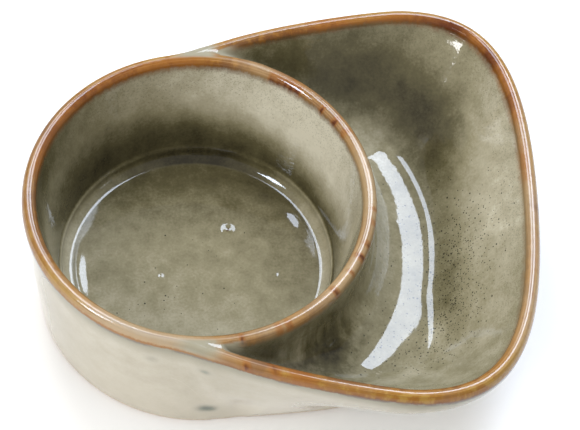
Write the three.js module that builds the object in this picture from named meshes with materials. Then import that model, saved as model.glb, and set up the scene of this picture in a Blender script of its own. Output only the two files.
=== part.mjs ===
// Soup and cracker bowl: a round stoneware cup with a flared cracker tray luted round one side of it.
// Millimetres, +Z up. The origin lies on the table below the middle of the bowl, and the tray is on the +X side.
import * as THREE from "three";

// Driving dimensions. Heights are measured up from the table, depths down from the top of the rim.
const rimHeight = 64;
const lipThickness = 5.6;
const overallLength = 189;
const overallWidth = 173;

// Cup
const cupRimRadius = 65;
const cupBaseRadius = 58;
const cupDepth = 48;
const floorFillet = 5;
const floorFilletSlope = 60;
const ledgeRadius = 50.2;
const ledgeRise = 4.6;
const ledgeBevel = 0.9;
const undersideHeight = 7;
const undersideRadius = 46;
const undersideBevel = 1.5;

// Tray rim, as seen from above: where it leaves the cup, and how its curve is drawn out
const rimLeaveAngle = 91;
const rimLeaveHeading = 41;
const rimLeaveReach = 17.4;
const rimWidestX = 76.3;
const rimSideReach = 11.2;
const rimCornerReach = 34;
const rimFarReach = 59.3;

// Tray dish
const trayDepth = 36.6;
const trayWallRun = 29;
const trayWallBow = 1.3;
const trayWallThickness = 6;
const trayFloorThickness = 7.4;
const trayCornerPower = 6;

// Outer wall under the tray and the base that it runs down to
const baseReach = 86;
const baseHalfWidth = 60;
const basePower = 2.6;
const baseTaper = 5.5;
const baseBlend = 4;
const flareForFullCurve = 24;
const skirtThickness = 7.5;
const hollowEndAngle = 53;
const hollowFullAngle = 40;

// Foot ring
const footHeight = 4.5;
const footWidth = 8;
const footRound = 1.6;

// Seam between cup and tray
const lutingGap = 0.3;
const featherEdge = 0.9;
const coilRise = 19;
const coilRun = 23;
const coilReach = 0.5;
const coilEdge = 0.6;
const coilFillStart = 52;
const coilFill = 0.85;
const junctionAngle = 80;
const tipAngle = 89;
const saddleDip = 1.2;

// Facets
const turnSteps = 96;
const trayStep = 2.5;
const tipSteps = 6;
const lipSteps = 8;
const filletSteps = 6;
const outlineSteps = 60;
const wallSteps = 9;
const floorSteps = 4;
const skinSteps = 9;
const coilSteps = 9;

// Derived sizes
const lipRadius = lipThickness / 2;
const lipHeight = rimHeight - lipRadius;
const cupAxisX = cupRimRadius - overallLength / 2;
const cupFloor = rimHeight - cupDepth;
const trayFloor = rimHeight - trayDepth;
const crestNear = cupRimRadius - lipRadius;
const crestFar = overallLength - cupRimRadius - lipRadius;
const crestSide = overallWidth / 2 - lipRadius;
const creaseFar = crestFar - trayWallRun;
const creaseSide = crestSide - trayWallRun;
const seatHeight = footHeight + lutingGap;
const hollowCeiling = trayFloor - trayFloorThickness;

// Small helpers
const radians = THREE.MathUtils.degToRad;
const mix = THREE.MathUtils.lerp;
const point = (r, z) => new THREE.Vector2(r, z);
const steps = (count, make) => Array.from({ length: count + 1 }, (_, i) => make(i / count));

function arc(centre, radii, fromDegrees, toDegrees, count) {
  return steps(count, (t) => {
    const angle = radians(mix(fromDegrees, toDegrees, t));
    return point(centre.x + radii.x * Math.cos(angle), centre.y + radii.y * Math.sin(angle));
  });
}

// The smaller of two values, rounded over where they are within `blend` of each other.
function smoothMin(a, b, blend) {
  const near = Math.max(blend - Math.abs(a - b), 0);
  return Math.min(a, b) - (near * near) / (4 * blend);
}

// Where a rising function of one value crosses zero.
function crossing(low, high, rising) {
  let [a, b] = [low, high];
  for (let i = 0; i < 40; i += 1) {
    const middle = (a + b) / 2;
    if (rising(middle) < 0) a = middle;
    else b = middle;
  }
  return (a + b) / 2;
}

// A rounded-square outline about the cup's axis, as a radius at an angle.
function superellipse(angle, reachX, reachY, power) {
  const x = Math.abs(Math.cos(angle)) / reachX;
  const y = Math.abs(Math.sin(angle)) / reachY;
  return (x ** power + y ** power) ** (-1 / power);
}

// The crest of the tray's rim, from the cup round to the far side: its radius at an angle from the cup's axis, and
// how much wider than square the lip is cut by a section through that axis.
const rimOutline = makeRimOutline();

function makeRimOutline() {
  const leave = point(crestNear, 0).rotateAround(point(0, 0), radians(rimLeaveAngle));
  const heading = point(rimLeaveReach, 0).rotateAround(point(0, 0), radians(rimLeaveHeading));
  const widest = point(rimWidestX, crestSide);
  const far = point(crestFar, 0);
  const side = new THREE.CubicBezierCurve(
    leave, leave.clone().add(heading), point(rimWidestX - rimSideReach, crestSide), widest);
  const end = new THREE.CubicBezierCurve(
    widest, point(rimWidestX + rimCornerReach, crestSide), point(crestFar, rimFarReach), far);
  return [side, end].flatMap((curve) => steps(outlineSteps, (t) => {
    const at = curve.getPoint(t);
    const spread = 1 / Math.abs(curve.getTangent(t).cross(at.clone().normalize()));
    return { angle: at.angle(), radius: at.length(), spread };
  }));
}

function onRim(angle, measure, pastTheTray) {
  const turned = Math.abs(angle);
  const after = rimOutline.findIndex((p) => p.angle <= turned);
  if (after === 0) return pastTheTray;
  const [a, b] = [rimOutline[after - 1], rimOutline[after]];
  return mix(a[measure], b[measure], (a.angle - turned) / (a.angle - b.angle));
}

const crestRadius = (angle) => onRim(angle, "radius", crestNear);
const lipHalf = (angle) => lipRadius * onRim(angle, "spread", 1);
const lipInside = (angle) => crestRadius(angle) - lipHalf(angle);
const lipOutside = (angle) => crestRadius(angle) + lipHalf(angle);

function lipArc(angle, toDegrees) {
  return arc(point(crestRadius(angle), lipHeight), point(lipHalf(angle), lipRadius), 0, toDegrees, lipSteps);
}

// The outside of the cup: a straight taper below the lip.
function cupOutside(z) {
  return mix(cupBaseRadius, cupRimRadius, z / lipHeight);
}

function seamRadius(z) {
  return cupOutside(z) + lutingGap;
}

// The outline of the base on the table: the cup's own circle, straight sides that leave it, and a blunt nose under
// the tray.
function baseRadius(angle) {
  const turned = Math.acos(Math.cos(angle));
  const sideStart = Math.PI / 2 - radians(baseTaper);
  if (turned >= sideStart) return cupBaseRadius;
  const side = cupBaseRadius / Math.cos(sideStart - turned);
  return smoothMin(side, superellipse(angle, baseReach, baseHalfWidth, basePower), baseBlend);
}

// The outside of the whole bowl: as straight as the cup where it hardly flares, a full S curve under the tray.
function skinRadius(angle, z) {
  const base = baseRadius(angle);
  const rim = lipOutside(angle);
  const down = 1 - z / lipHeight;
  const straight = 1 - down;
  const curved = (1 + Math.cos(Math.PI * down)) / 2;
  const extraFlare = rim - base - (cupRimRadius - cupBaseRadius);
  const share = THREE.MathUtils.smoothstep(extraFlare, 0, flareForFullCurve);
  return mix(base, rim, mix(straight, curved, share));
}

// The inside of the tray before the seam is filled: a flat floor, a crease and a bowed wall up to the lip. The crease
// stays at least a wall's thickness inside the outer wall.
function creaseRadius(angle) {
  const drawn = superellipse(angle, creaseFar, creaseSide, trayCornerPower);
  return Math.min(drawn, skinRadius(angle, trayFloor) - trayWallThickness);
}

function dishHeight(angle, r) {
  const top = lipInside(angle);
  const down = THREE.MathUtils.clamp((top - r) / (top - creaseRadius(angle)), 0, 1);
  return mix(trayFloor, lipHeight, (1 - down) ** trayWallBow);
}

// Where the inside of the tray meets the cup.
function seamCorner(angle) {
  const r = crossing(cupBaseRadius, lipInside(angle), (at) => at - seamRadius(dishHeight(angle, at)));
  return point(r, dishHeight(angle, r));
}

// The inside of the tray in one section, from the lip down the wall and across the floor to the seam.
function dishLine(angle) {
  const seam = seamCorner(angle).x;
  const lip = lipInside(angle);
  const crease = Math.max(creaseRadius(angle), mix(seam, lip, 1 / (wallSteps + floorSteps)));
  const wall = steps(wallSteps, (t) => mix(lip, crease, t));
  const floor = steps(floorSteps, (t) => mix(crease, seam, t)).slice(1);
  return [...wall, ...floor].map((r) => point(r, dishHeight(angle, r)));
}

function heightOnLine(line, r) {
  const after = Math.max(line.findIndex((p) => p.x <= r), 1);
  const [a, b] = [line[after - 1], line[after]];
  return mix(a.y, b.y, (a.x - r) / (a.x - b.x));
}

// The lowest height at which the tray's outer wall stands clear enough of the cup to be a piece of its own.
function featherHeight(angle) {
  const clear = (z) => skinRadius(angle, z) - seamRadius(z) - featherEdge;
  if (clear(seatHeight) >= 0) return seatHeight;
  return crossing(seatHeight, lipHeight, clear);
}

function skinLine(angle, fromHeight) {
  return steps(skinSteps, (t) => {
    const z = mix(fromHeight, lipHeight, t);
    return point(skinRadius(angle, z), z);
  });
}

// Closed body through sections of equally many points. Each section is listed anticlockwise, with the radius from
// the cup's axis to the right and the height upwards.
function loft(angles, sections, closed) {
  const count = sections[0].length;
  const positions = [];
  sections.forEach((section, i) => section.forEach((p) => {
    positions.push(p.x * Math.cos(angles[i]), p.x * Math.sin(angles[i]), p.y);
  }));
  const index = [];
  const spans = closed ? sections.length : sections.length - 1;
  for (let i = 0; i < spans; i += 1) {
    const here = i * count;
    const next = ((i + 1) % sections.length) * count;
    for (let j = 0; j < count; j += 1) {
      const k = (j + 1) % count;
      index.push(here + j, next + j, next + k, here + j, next + k, here + k);
    }
  }
  if (!closed) {
    const last = (sections.length - 1) * count;
    THREE.ShapeUtils.triangulateShape(sections[0], []).forEach(([a, b, c]) => index.push(a, b, c));
    THREE.ShapeUtils.triangulateShape(sections.at(-1), []).forEach(([a, b, c]) => {
      index.push(last + c, last + b, last + a);
    });
  }
  const geometry = new THREE.BufferGeometry();
  geometry.setAttribute("position", new THREE.Float32BufferAttribute(positions, 3));
  geometry.setIndex(index);
  geometry.computeVertexNormals();
  return geometry;
}

function loftBetween(fromDegrees, toDegrees, count, section) {
  const angles = steps(count, (t) => radians(mix(fromDegrees, toDegrees, t)));
  return loft(angles, angles.map(section), false);
}

// Soup cup: one turned profile, from the underside round the lip to the floor.
function makeSoupCup() {
  const floorRadius = ledgeRadius - floorFillet * Math.sin(radians(floorFilletSlope));
  const filletCentre = point(floorRadius, cupFloor + floorFillet);
  const ledge = point(ledgeRadius, cupFloor + ledgeRise);
  const wallFoot = ledge.clone().addScalar(ledgeBevel);
  const profile = [
    point(0, undersideHeight),
    point(undersideRadius, undersideHeight),
    point(undersideRadius + undersideBevel, seatHeight),
    point(cupOutside(seatHeight), seatHeight),
    ...lipArc(Math.PI, 180),
    wallFoot,
    ledge,
    ...arc(filletCentre, point(floorFillet, floorFillet), floorFilletSlope - 90, -90, filletSteps),
    point(0, cupFloor),
  ];
  return new THREE.LatheGeometry(profile, turnSteps).rotateX(Math.PI / 2);
}

// Cracker tray: sections round the cup's axis, from one junction to the other.
function traySection(angle) {
  const bottom = featherHeight(angle);
  const open = 1 - THREE.MathUtils.smoothstep(Math.abs(angle), radians(hollowFullAngle), radians(hollowEndAngle));
  const ceiling = mix(bottom + featherEdge / 2, hollowCeiling, open);
  const innerWall = (z) => mix(seamRadius(z), Math.max(skinRadius(angle, z) - skirtThickness, seamRadius(z)),
    mix(1 / 2, 1, open));
  return [
    point(seamRadius(ceiling), ceiling),
    point(innerWall(ceiling), ceiling),
    point(innerWall(bottom), bottom),
    ...skinLine(angle, bottom),
    ...lipArc(angle, 180).slice(1, -1),
    ...dishLine(angle),
  ];
}

function makeCrackerTray() {
  return loftBetween(-junctionAngle, junctionAngle, (2 * junctionAngle) / trayStep, traySection);
}

// Seam coil: fills the corner between cup and tray with a broad cove that fills up towards the junctions, where it
// covers at most a share of the narrowing dish.
function coilSection(angle) {
  const corner = seamCorner(angle);
  const dish = dishLine(angle);
  const steepness = (r) => Math.hypot(1, heightOnLine(dish, r + 1) - heightOnLine(dish, r));
  const bedHeight = (r) => heightOnLine(dish, r) + lutingGap * steepness(r);
  const run = Math.min(coilRun / steepness(corner.x), (lipInside(angle) - corner.x) * coilReach);
  const outerEnd = point(corner.x + run, bedHeight(corner.x + run) + coilEdge);
  const topHeight = corner.y + Math.min(coilRise, (lipHeight - corner.y) * coilFill);
  const innerEnd = point(seamRadius(topHeight), topHeight);
  const fill = coilFill * THREE.MathUtils.smoothstep(
    Math.abs(angle), radians(coilFillStart), radians(junctionAngle));
  const pull = corner.clone().lerp(outerEnd.clone().lerp(innerEnd, 1 / 2), fill);
  const cove = new THREE.QuadraticBezierCurve(outerEnd, pull, innerEnd).getPoints(coilSteps);
  const bed = steps(coilSteps, (t) => {
    const r = mix(corner.x + lutingGap / 2, outerEnd.x, t);
    return point(r, bedHeight(r));
  });
  return [...bed, ...cove];
}

function makeSeamCoil() {
  const end = junctionAngle - trayStep;
  return loftBetween(-end, end, (2 * end) / trayStep, coilSection);
}

// Junction: the wedge that closes one end of the tray, with the saddle between the two lips on top.
function junctionSection(angle) {
  const bottom = featherHeight(angle);
  const crest = crestRadius(angle);
  const lipEnd = Math.max(crest - lipHalf(angle) / 2, seamRadius(lipHeight) + featherEdge / 2);
  const lipEndAngle = THREE.MathUtils.radToDeg(Math.acos((lipEnd - crest) / lipHalf(angle)));
  const saddleHeight = lipHeight - saddleDip;
  return [
    point(seamRadius(bottom), bottom),
    ...skinLine(angle, bottom),
    ...lipArc(angle, lipEndAngle).slice(1),
    point(seamRadius(lipHeight), lipHeight),
    point(seamRadius(saddleHeight), saddleHeight),
  ];
}

function makeJunction(side) {
  const start = junctionAngle + THREE.MathUtils.radToDeg(lutingGap / cupRimRadius);
  const [from, to] = side < 0 ? [-tipAngle, -start] : [start, tipAngle];
  return loftBetween(from, to, tipSteps, junctionSection);
}

// Foot ring: follows the base outline under cup and tray, flush with the outer wall and rounded at the table.
function footSection(angle) {
  const outside = skinRadius(angle, footHeight);
  const foot = baseRadius(angle);
  const inside = foot - footWidth;
  return [
    point(inside, 0),
    point(foot - footRound, 0),
    point(foot, footRound),
    point(outside, footHeight),
    point(inside, footHeight),
  ];
}

function makeFootRing() {
  const angles = steps(turnSteps, (t) => 2 * Math.PI * t).slice(0, -1);
  return loft(angles, angles.map(footSection), true);
}

// Materials
const glaze = (color) => new THREE.MeshStandardMaterial({ color, roughness: 0.18, metalness: 0 });
const oliveGlaze = glaze(0x8b8a72);
const seamGlaze = glaze(0x7d7c63);
const paleGlaze = glaze(0xcfcabb);
const bareClay = new THREE.MeshStandardMaterial({ color: 0xb59a7c, roughness: 0.85, metalness: 0 });

function piece(name, geometry, material) {
  const mesh = new THREE.Mesh(geometry, material);
  mesh.name = name;
  return mesh;
}

const bowl = new THREE.Group();
bowl.position.x = cupAxisX;
bowl.add(
  piece("soup_cup", makeSoupCup(), oliveGlaze),
  piece("cracker_tray", makeCrackerTray(), oliveGlaze),
  piece("seam_coil", makeSeamCoil(), seamGlaze),
  piece("front_junction", makeJunction(-1), paleGlaze),
  piece("rear_junction", makeJunction(1), paleGlaze),
  piece("foot_ring", makeFootRing(), bareClay),
);

export default bowl;
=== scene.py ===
"""Looks of the soup and cracker bowl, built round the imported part. Metres, in the part's own frame."""
import math

import bpy
import numpy as np
from mathutils import Matrix, Vector


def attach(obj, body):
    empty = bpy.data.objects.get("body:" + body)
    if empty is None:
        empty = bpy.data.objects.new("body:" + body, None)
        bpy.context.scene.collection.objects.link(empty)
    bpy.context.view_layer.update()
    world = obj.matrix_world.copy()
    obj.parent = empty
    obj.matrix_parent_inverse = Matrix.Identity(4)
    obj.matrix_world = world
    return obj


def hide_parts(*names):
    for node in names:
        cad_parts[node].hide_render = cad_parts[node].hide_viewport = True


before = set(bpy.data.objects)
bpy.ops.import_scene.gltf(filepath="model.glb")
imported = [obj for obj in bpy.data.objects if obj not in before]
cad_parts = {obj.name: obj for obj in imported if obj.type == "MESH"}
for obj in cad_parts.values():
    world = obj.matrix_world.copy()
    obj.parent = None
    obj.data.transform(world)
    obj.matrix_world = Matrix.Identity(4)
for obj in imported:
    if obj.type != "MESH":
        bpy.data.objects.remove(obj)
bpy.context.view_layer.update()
scene = bpy.context.scene

# Sizes in millimetres and degrees, as in the part. Angles turn about the cup's axis, from the tray.
MM = 0.001
RIM_HEIGHT = 64.0
LIP = 2.8
LIP_HEIGHT = RIM_HEIGHT - LIP

# Cup and foot
CUP_AXIS_X = -29.5
CUP_RIM = 65.0
CUP_BASE = 58.0
CUP_CREST = CUP_RIM - LIP
CUP_FLOOR = 16.0
CUP_SOFTNESS = 0.4
FLOOR_EDGE = 45.7
FLOOR_FILLET = 5.0
FILLET_SLOPE = 60.0
LEDGE = ((51.2, 21.5), (50.3, 20.6))
UNDERSIDE_HEIGHT = 7.0
UNDERSIDE_RADIUS = 46.0
UNDERSIDE_BEVEL = 1.5
FLAT_DISC = 8.0
FOOT_HEIGHT = 4.5
FOOT_WIDTH = 8.0
FOOT_ROUND = 1.6
FOOT_INNER_ROUND = 1.0

# Outline of the tray's rim, from where it leaves the cup to its far end
RIM_LEAVE_ANGLE = 91.0
RIM_LEAVE_HEADING = 41.0
RIM_LEAVE_REACH = 17.4
RIM_BACK_SHARES = (1.2, 0.02)
RIM_WIDEST = (76.3, 83.7)
RIM_SIDE_REACH = 11.2
RIM_CORNER_REACH = 34.0
RIM_FAR = 121.2
RIM_FAR_REACH = 59.3
RIM_BLEND = 8.0

# Inside of the tray. Its floor turns up at a crease, which is rounder at the back than at the front.
TRAY_FLOOR = 27.4
TRAY_WALL_BOW = 1.3
TRAY_WALL_THICKNESS = 6.0
CREASE_FAR = 92.2
CREASE_SIDES = (54.7, 48.0)
CREASE_SIDES_TURN = (-8, 8)
CREASE_POWER = 6.0
CREASE_ROUND = (87.8, 96.8)
CREASE_ROUND_TURN = (10, 30)
CREASE_BLEND = 6.0
CORNER_RISE = 0.074
CORNER_RISE_FROM = 85.0
CORNER_RISE_BLEND = 1.5
CORNER_FRONT = (14, 30)
CORNER_END = (92, 108)

# Outside of the tray. Towards its tips the wall thins out to a feather along the cup.
BASE_REACH = (86.0, 60.0)
BASE_POWER = 2.6
BASE_SIDE_START = 84.5
BASE_SIDE_MOST = 88
BASE_BLEND = 4.0
FLARE_FOR_FULL_CURVE = 24.0
FLARE_AT_FRONT = 60.0
FRONT_FLANK = (38, 58)
FEATHER_ANGLES = (68.0, 78.0)
FEATHER_TOP = 36.0
FEATHER_RISE = 25
WALL_SOFTNESS = 1.5
SKIRT_THICKNESS = 7.5
SKIRT_LEAST = 0.5
SKIRT_STEP = 0.5
HOLLOW_FULL_ANGLE = 40.0
HOLLOW_END_ANGLE = 53.0
HOLLOW_CEILING = 20.0
JUNCTION_ANGLE = 80.0
TIP_ANGLE = 99.5
TIP_INSET = 1.0
TIP_DEPTH = 2.5

# Cove of the seam coil. The shares are of the lines that it lies on.
COVE_UP = 19.0
COVE_UP_SHARE = 0.8
COVE_RUN = 23.0
COVE_RUN_SHARE = 0.5
COVE_WIDER = 0.05
COVE_WIDER_TURN = (-4, 14)
COVE_FILL = 0.85
COVE_FILL_START = 52.0
VALLEY_SOFTNESS = 2.6
VALLEY_SOFT_SHARE = 0.1
VALLEY_ENDS = 40.0
VALLEY_END_SHARES = (0.06, 0.22)
COIL_LEAD = 2.5
COIL_START_SHARE = 0.04
COIL_RUN_ON = 2.0
COIL_END_SHARE = 0.8
BED_DEPTH = 0.3

# Unevenness. Pools of glaze are angle, spread and height, burst bubbles x, y, reach and depth,
# and swells amount, waves round the axis and phase.
POOLS = ((186, 20, 0.5), (30, 9, 0.4))
POOL_RADII = (40.0, 45.0, 46.3)
BUBBLES = ((-17.4, 16.8, 1.7, 0.5), (-42.7, -4.5, 0.7, 0.16), (1.4, -3.6, 0.6, 0.08))
OVAL_SWELL = (0.0010, 2, -1.2)
SQUARE_SWELL = (0.0006, 4, -1.9)
RIM_DIP_SWELL = (0.12, 2, 0.7)
RIPPLE = 0.03
RIPPLE_SLOW = 6.5
RIPPLE_BEND = 0.6
RIPPLE_BEND_LENGTH = 9
RIPPLE_QUICK = 4.1
RIPPLE_QUICK_SHARE = 0.7
RIPPLE_SLANT = 12
RIPPLE_PHASE = 1.9
RIPPLE_WAYS = (12, 28)
CORNER_WAYS = (5, 20)

# Counts of points along lines, of rows round the axis and columns across, and degrees between rows
LIP_POINTS = 30
FILLET_POINTS = 16
FOOT_POINTS = 8
WALL_POINTS = 120
WALL_FINE_POINTS = 260
CUP_FINE_POINTS = 1800
DIVIDER_POINTS = 60
COVE_POINTS = 60
TRAY_WALL_POINTS = 90
DISH_POINTS = 240
VALLEY_POINTS = 700
RIM_BACK_POINTS = 60
RIM_POINTS = 400
BED_POINTS = 5
CUP_ROWS = 300
FOOT_ROWS = 360
TRAY_STEP = 1.0
TIP_STEP = 0.5
CUP_COLUMNS = 240
OUTER_COLUMNS = 80
COIL_COLUMNS = 44
DISH_COLUMNS = 120

# How lines are rounded and their points crowded, and other limits of the meshing
SOFT_START = 1.0
SOFT_FULL = 4.0
BELL_REACH = 3
LIP_CROWDING = 1.5
CREST_CROWDING = 1.6
HALVINGS = 50
SHARP_ANGLE = 40
TINY = 1e-12


def mix(a, b, t):
    return a + (b - a) * t


def smoothstep(x, low, high):
    """0 at low, 1 at high, smooth between. With low above high it falls."""
    t = np.clip((x - low) / (high - low), 0, 1)
    return t * t * (3 - 2 * t)


def smooth_max(a, b, blend):
    near = np.maximum(blend - np.abs(a - b), 0)
    return np.maximum(a, b) + near * near / (4 * blend)


def superellipse(angle, reach, power):
    turn = np.radians(angle)
    x = np.abs(np.cos(turn)) / reach[0]
    y = np.abs(np.sin(turn)) / reach[1]
    return (x ** power + y ** power) ** (-1 / power)


def bezier(points, count):
    t = np.linspace(0, 1, count)[:, None]
    a, b, c, d = (np.array(p, float) for p in points)
    return (1 - t) ** 3 * a + 3 * t * (1 - t) ** 2 * b + 3 * t * t * (1 - t) * c + t ** 3 * d


def rim_outline():
    """Angles and radii of the tray's rim, drawn on back into the cup so that the two rims blend."""
    turn, head = math.radians(RIM_LEAVE_ANGLE), math.radians(RIM_LEAVE_HEADING)
    leave = CUP_CREST * np.array([math.cos(turn), math.sin(turn)])
    heading = RIM_LEAVE_REACH * np.array([math.cos(head), math.sin(head)])
    widest = np.array(RIM_WIDEST)
    back = leave - np.linspace(*RIM_BACK_SHARES, RIM_BACK_POINTS)[:, None] * heading
    side = bezier((leave, leave + heading, widest - (RIM_SIDE_REACH, 0), widest), RIM_POINTS)
    corner = (widest, widest + (RIM_CORNER_REACH, 0), (RIM_FAR, RIM_FAR_REACH), (RIM_FAR, 0))
    line = np.concatenate([back, side, bezier(corner, RIM_POINTS)])[::-1]
    return np.degrees(np.arctan2(line[:, 1], line[:, 0])), np.hypot(line[:, 0], line[:, 1])


RIM_ANGLES, RIM_RADII = rim_outline()


def crest(angle):
    return smooth_max(CUP_CREST, np.interp(np.abs(angle), RIM_ANGLES, RIM_RADII), RIM_BLEND)


def lip_half(angle):
    """Half the lip's thickness in a section through the cup's axis, which cuts it slantwise."""
    step = 0.5
    slope = (crest(angle + step) - crest(angle - step)) / (2 * math.radians(step)) / crest(angle)
    return LIP * np.sqrt(1 + slope * slope)


def cup_outside(z):
    return mix(CUP_BASE, CUP_RIM, z / LIP_HEIGHT)


def base_radius(angle):
    turned = np.abs(angle)
    side = CUP_BASE / np.cos(np.radians(np.clip(BASE_SIDE_START - turned, 0, BASE_SIDE_MOST)))
    nose = superellipse(angle, BASE_REACH, BASE_POWER)
    return np.where(turned >= BASE_SIDE_START, CUP_BASE, -smooth_max(-side, -nose, BASE_BLEND))


def feather_start(angle):
    """Height at which the outer wall of the tray or junction starts to stand out from the cup."""
    return mix(FOOT_HEIGHT, FEATHER_TOP, smoothstep(np.abs(angle), FEATHER_ANGLES[1], TIP_ANGLE))


def skin(angle, z):
    """Radius of the outside of the tray, an S that is straighter at the front."""
    base = base_radius(angle)
    rim = crest(angle) + lip_half(angle)
    up = z / LIP_HEIGHT
    curved = (1 - np.cos(np.pi * up)) / 2
    full = mix(FLARE_FOR_FULL_CURVE, FLARE_AT_FRONT, smoothstep(-angle, *FRONT_FLANK))
    share = smoothstep(rim - base - (CUP_RIM - CUP_BASE), 0, full)
    drawn = mix(base, rim, mix(up, curved, share))
    start = feather_start(angle)
    keep = mix(1, smoothstep(z, start, start + FEATHER_RISE), smoothstep(np.abs(angle), *FEATHER_ANGLES))
    return mix(cup_outside(z), drawn, keep)


# Section lines: rows of radius and height
def arc_length(line):
    return np.concatenate([[0], np.cumsum(np.hypot(*np.diff(line, axis=0).T))])


def at_length(line, wanted):
    run = arc_length(line)
    return np.stack([np.interp(wanted, run, line[:, 0]), np.interp(wanted, run, line[:, 1])], -1)


def resample(line, count):
    return at_length(line, np.linspace(0, arc_length(line)[-1], count))


def soften(line, sigma, weight):
    """The line, evenly spaced, rounded with a bell of width sigma where the weight is 1."""
    spacing = arc_length(line)[-1] / (len(line) - 1)
    reach = max(1, int(BELL_REACH * sigma / spacing))
    bell = np.exp(-0.5 * (np.arange(-reach, reach + 1) * spacing / sigma) ** 2)
    bell /= bell.sum()
    padded = np.pad(line, ((reach, reach), (0, 0)), mode="reflect", reflect_type="odd")
    smooth = np.stack([np.convolve(padded[:, k], bell, mode="valid") for k in (0, 1)], -1)
    return mix(line, smooth, weight[:, None])


def away_from_ends(run):
    """0 at both ends of a line, 1 a few millimetres in."""
    return smoothstep(run, SOFT_START, SOFT_FULL) * smoothstep(run[-1] - run, 0, SOFT_FULL)


def arc(centre, radii, start, stop, count):
    t = np.radians(np.linspace(start, stop, count))
    return np.stack([centre[0] + radii[0] * np.cos(t), centre[1] + radii[1] * np.sin(t)], -1)


def wall_line(rim, half, radius_at, bottom, count):
    """From a lip's crest over its outer side and down the wall to a height."""
    lip = arc((rim, LIP_HEIGHT), (half, LIP), 90, 0, LIP_POINTS)
    z = np.linspace(LIP_HEIGHT, bottom, WALL_POINTS)[1:]
    line = resample(np.concatenate([lip, np.stack([radius_at(z), z], -1)]), WALL_FINE_POINTS)
    line = soften(line, WALL_SOFTNESS, away_from_ends(arc_length(line)))
    return at_length(line, arc_length(line)[-1] * np.linspace(0, 1, count) ** LIP_CROWDING)


def outer_line(angle):
    """From the tray's crest down its outside."""
    rim, half = float(crest(angle)), float(lip_half(angle))
    return wall_line(rim, half, lambda z: skin(angle, z), float(feather_start(angle)), OUTER_COLUMNS)


def cup_inside_line(count):
    """From the cup's crest down its wall and over the ledge to the flat of its floor."""
    fillet_centre = (FLOOR_EDGE, CUP_FLOOR + FLOOR_FILLET)
    line = np.concatenate([
        arc((CUP_CREST, LIP_HEIGHT), (LIP, LIP), 90, 180, LIP_POINTS),
        LEDGE,
        arc(fillet_centre, (FLOOR_FILLET, FLOOR_FILLET), FILLET_SLOPE - 90, -90, FILLET_POINTS),
        [(FLAT_DISC, CUP_FLOOR)],
    ])
    line = resample(line, CUP_FINE_POINTS)
    line = soften(line, CUP_SOFTNESS, away_from_ends(arc_length(line)))
    return resample(line, count)


def glaze_pools(angle, radius):
    """Height of the glaze that has run to the edge of the cup's floor, less the burst bubbles."""
    edge = smoothstep(radius, *POOL_RADII[:2]) - smoothstep(radius, *POOL_RADII[1:])
    turned = angle % 360
    height = sum(most * np.exp(-((turned - middle) / spread) ** 2) for middle, spread, most in POOLS) * edge
    turn = np.radians(angle)
    for x, y, reach, depth in BUBBLES:
        off = np.hypot(CUP_AXIS_X + radius * np.cos(turn) - x, radius * np.sin(turn) - y)
        height = height - depth * np.exp(-(off / reach) ** 2)
    return height


def lip_angle(z):
    """Angle on a lip's round at a height, and 0 below the round."""
    return math.degrees(math.asin(min(max((z - LIP_HEIGHT) / LIP, 0), 1)))


def cup_side(corner_z):
    """From the cup's crest down its outside to the corner with the tray."""
    line = arc((CUP_CREST, LIP_HEIGHT), (LIP, LIP), 90, lip_angle(corner_z), LIP_POINTS)
    if corner_z < LIP_HEIGHT:
        z = np.linspace(LIP_HEIGHT, corner_z, DIVIDER_POINTS)[1:]
        line = np.concatenate([line, np.stack([cup_outside(z), z], -1)])
    return line


def tray_wall(z, crease, inside):
    """Radius of the tray's inner wall at a height."""
    return mix(crease, inside, ((z - TRAY_FLOOR) / (LIP_HEIGHT - TRAY_FLOOR)) ** (1 / TRAY_WALL_BOW))


def tray_side(corner_z, crease, inside, rim, half):
    """From the corner with the cup across the tray and up to its crest."""
    parts = []
    start = crease
    if crease > cup_outside(TRAY_FLOOR):
        parts.append([(cup_outside(TRAY_FLOOR), TRAY_FLOOR)])
    elif corner_z < LIP_HEIGHT:
        start = tray_wall(corner_z, crease, inside)
    if corner_z < LIP_HEIGHT:
        r = np.linspace(start, inside, TRAY_WALL_POINTS)
        u = np.clip((r - crease) / (inside - crease), 0, 1)
        parts.append(np.stack([r, mix(TRAY_FLOOR, LIP_HEIGHT, u ** TRAY_WALL_BOW)], -1))
    parts.append(arc((rim, LIP_HEIGHT), (half, LIP), 180 - lip_angle(corner_z), 90, LIP_POINTS)[1:])
    return np.concatenate(parts)


def corner_height(crease, inside, rim, half):
    """Height at which the inside of the tray meets the cup."""
    if crease > cup_outside(TRAY_FLOOR):
        return TRAY_FLOOR

    def gap(z):
        if z < LIP_HEIGHT:
            return tray_wall(z, crease, inside) - cup_outside(z)
        width = math.sqrt(max(1 - ((z - LIP_HEIGHT) / LIP) ** 2, 0))
        return rim - half * width - CUP_CREST - LIP * width

    low, high = TRAY_FLOOR, RIM_HEIGHT
    for _ in range(HALVINGS):
        middle = (low + high) / 2
        low, high = (middle, high) if gap(middle) < 0 else (low, middle)
    return (low + high) / 2


def crease_radius(angle):
    """Where the tray's floor turns up: round the cup at the back, and out into the corner at the front."""
    side = mix(*CREASE_SIDES, smoothstep(angle, *CREASE_SIDES_TURN))
    bend = mix(*CREASE_ROUND, smoothstep(-angle, *CREASE_ROUND_TURN))
    drawn = -smooth_max(-superellipse(angle, (CREASE_FAR, side), CREASE_POWER), -bend, CREASE_BLEND)
    return float(min(drawn, skin(angle, TRAY_FLOOR) - TRAY_WALL_THICKNESS))


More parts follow.
